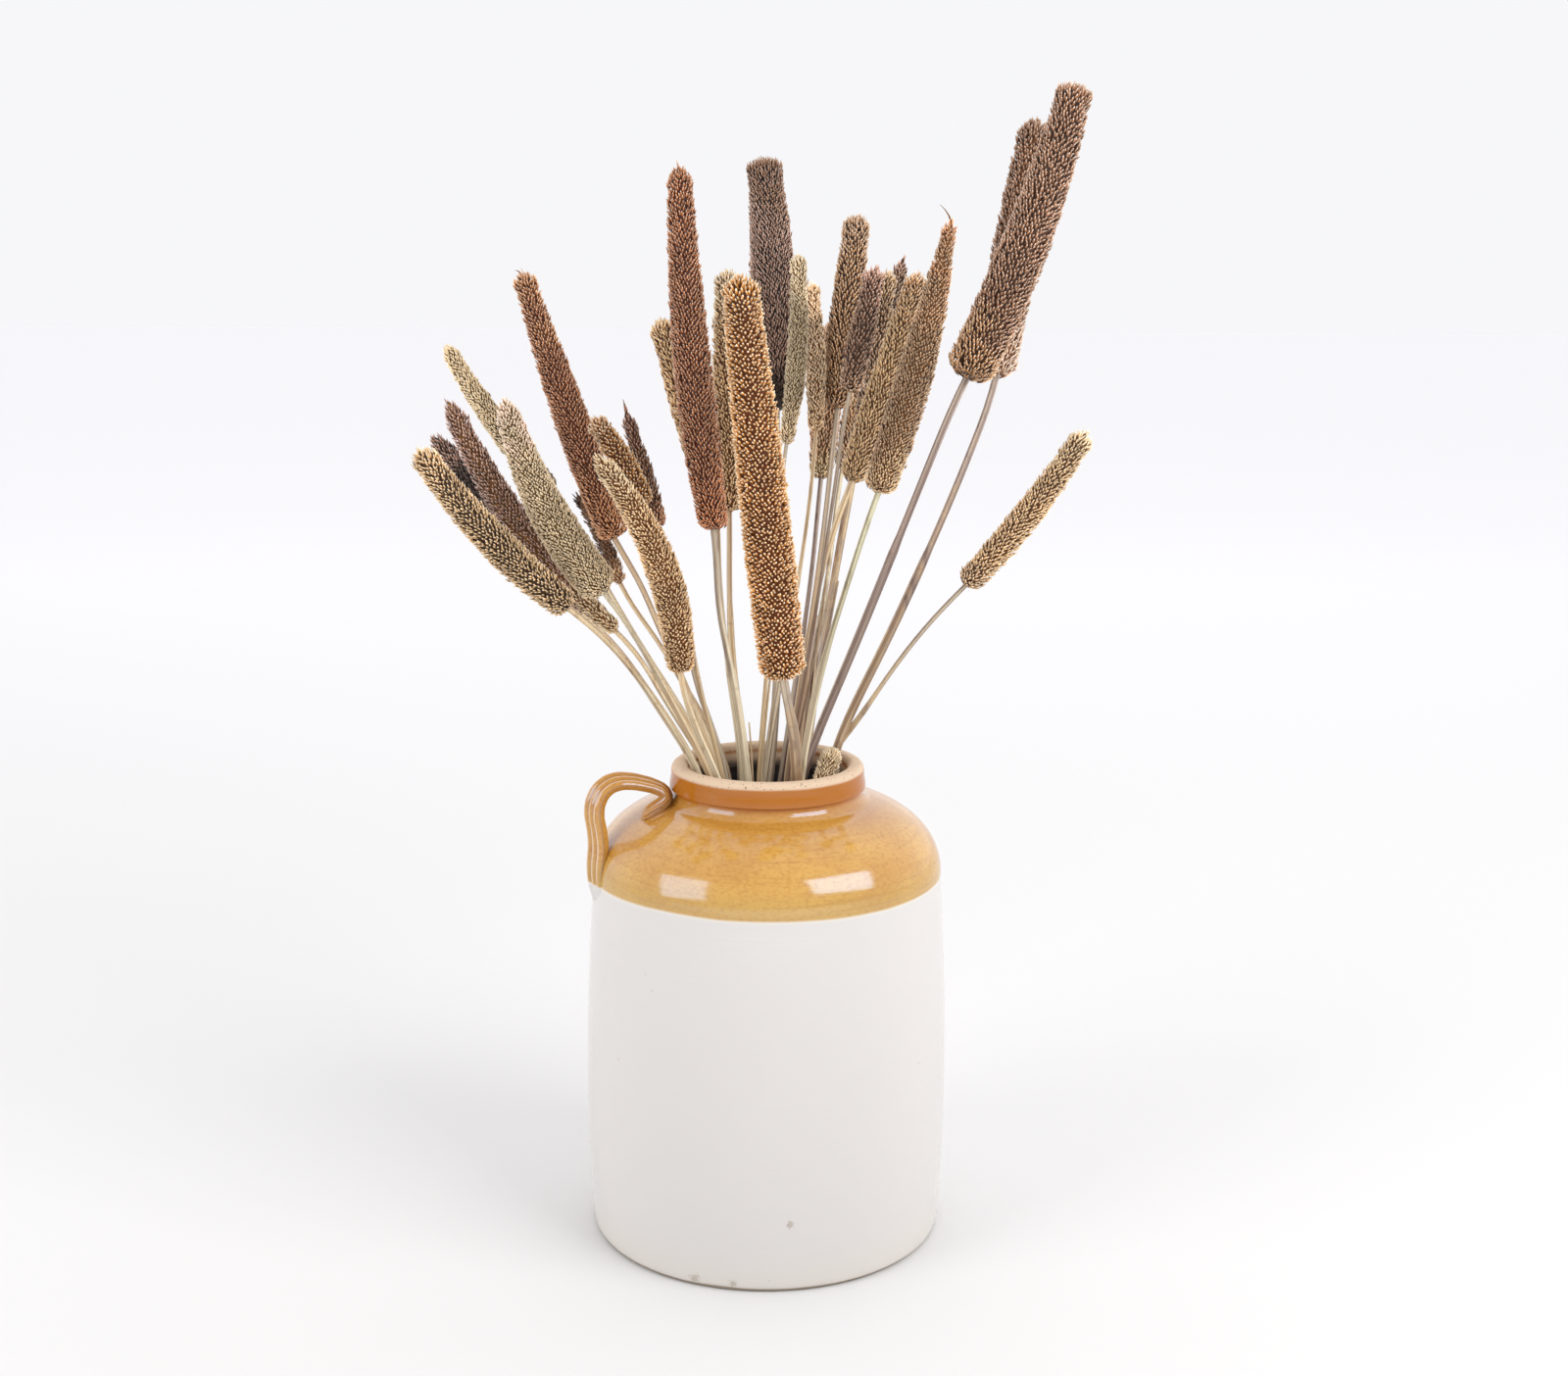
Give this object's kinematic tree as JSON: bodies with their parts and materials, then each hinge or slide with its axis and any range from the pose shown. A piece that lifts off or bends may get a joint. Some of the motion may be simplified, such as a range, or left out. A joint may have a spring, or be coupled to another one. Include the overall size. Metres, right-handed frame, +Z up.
{
  "type": "vase of dried flowers",
  "caption": "Round-shouldered stoneware jar with a small strap handle, holding a loose fan of dried millet seed spikes on thin straw stalks.",
  "frame": {"origin": "centre of the jar's flat foot, on the surface it stands on", "axes": "+Z up along the jar's axis, -Y towards the front from which the bunch is seen, strap handle towards -X"},
  "size_m": [0.3901, 0.2706, 0.692],
  "materials": {
    "glazed_stoneware": "gloss off-white glaze, amber glaze on the shoulder and collar",
    "grain_bark": "dry matt seed, grey-brown",
    "grain_bronze": "dry matt seed, bronze",
    "grain_chestnut": "dry matt seed, chestnut brown",
    "grain_copper": "dry matt seed, copper brown",
    "grain_gold": "dry matt seed, golden tan",
    "grain_greygreen": "dry matt seed, grey-green",
    "grain_palegreen": "dry matt seed, pale green straw",
    "grain_plum": "dry matt seed, dark purple-brown",
    "grain_rust": "dry matt seed, rust brown",
    "grain_straw": "dry matt seed, straw",
    "grain_tan": "dry matt seed, tan",
    "grain_umber": "dry matt seed, dark brown",
    "grain_wheat": "dry matt seed, wheat tan",
    "stalk_grey": "dry satin straw",
    "stalk_mauve": "dry satin straw",
    "stalk_straw": "dry satin straw"
  },
  "bodies": {
    "root": {"jar": "glazed_stoneware", "spike_01": "grain_gold", "stalk_01": "stalk_straw", "spike_02": "grain_plum", "stalk_02": "stalk_straw", "spike_03": "grain_palegreen", "stalk_03": "stalk_straw", "spike_04": "grain_plum", "stalk_04": "stalk_straw", "spike_05": "grain_greygreen", "stalk_05": "stalk_straw", "spike_06": "grain_umber", "stalk_06": "stalk_straw", "spike_07": "grain_umber", "stalk_07": "stalk_straw", "spike_08": "grain_rust", "stalk_08": "stalk_straw", "spike_09": "grain_wheat", "stalk_09": "stalk_straw", "spike_10": "grain_plum", "stalk_10": "stalk_straw", "spike_11": "grain_wheat", "stalk_11": "stalk_straw", "spike_12": "grain_chestnut", "stalk_12": "stalk_grey", "spike_13": "grain_wheat", "stalk_13": "stalk_straw", "spike_14": "grain_copper", "stalk_14": "stalk_grey", "spike_15": "grain_umber", "stalk_15": "stalk_straw", "spike_16": "grain_palegreen", "stalk_16": "stalk_straw", "spike_17": "grain_tan", "stalk_17": "stalk_straw", "spike_18": "grain_tan", "stalk_18": "stalk_straw", "spike_19": "grain_palegreen", "stalk_19": "stalk_straw", "spike_20": "grain_bronze", "stalk_20": "stalk_straw", "spike_21": "grain_tan", "stalk_21": "stalk_straw", "spike_22": "grain_plum", "stalk_22": "stalk_straw", "spike_23": "grain_tan", "stalk_23": "stalk_straw", "spike_24": "grain_greygreen", "stalk_24": "stalk_straw", "spike_25": "grain_tan", "stalk_25": "stalk_straw", "spike_26": "grain_bark", "stalk_26": "stalk_straw", "spike_27": "grain_chestnut", "stalk_27": "stalk_mauve", "spike_28": "grain_bark", "stalk_28": "stalk_mauve", "spike_29": "grain_straw", "stalk_29": "stalk_grey"}
  },
  "joints": []
}
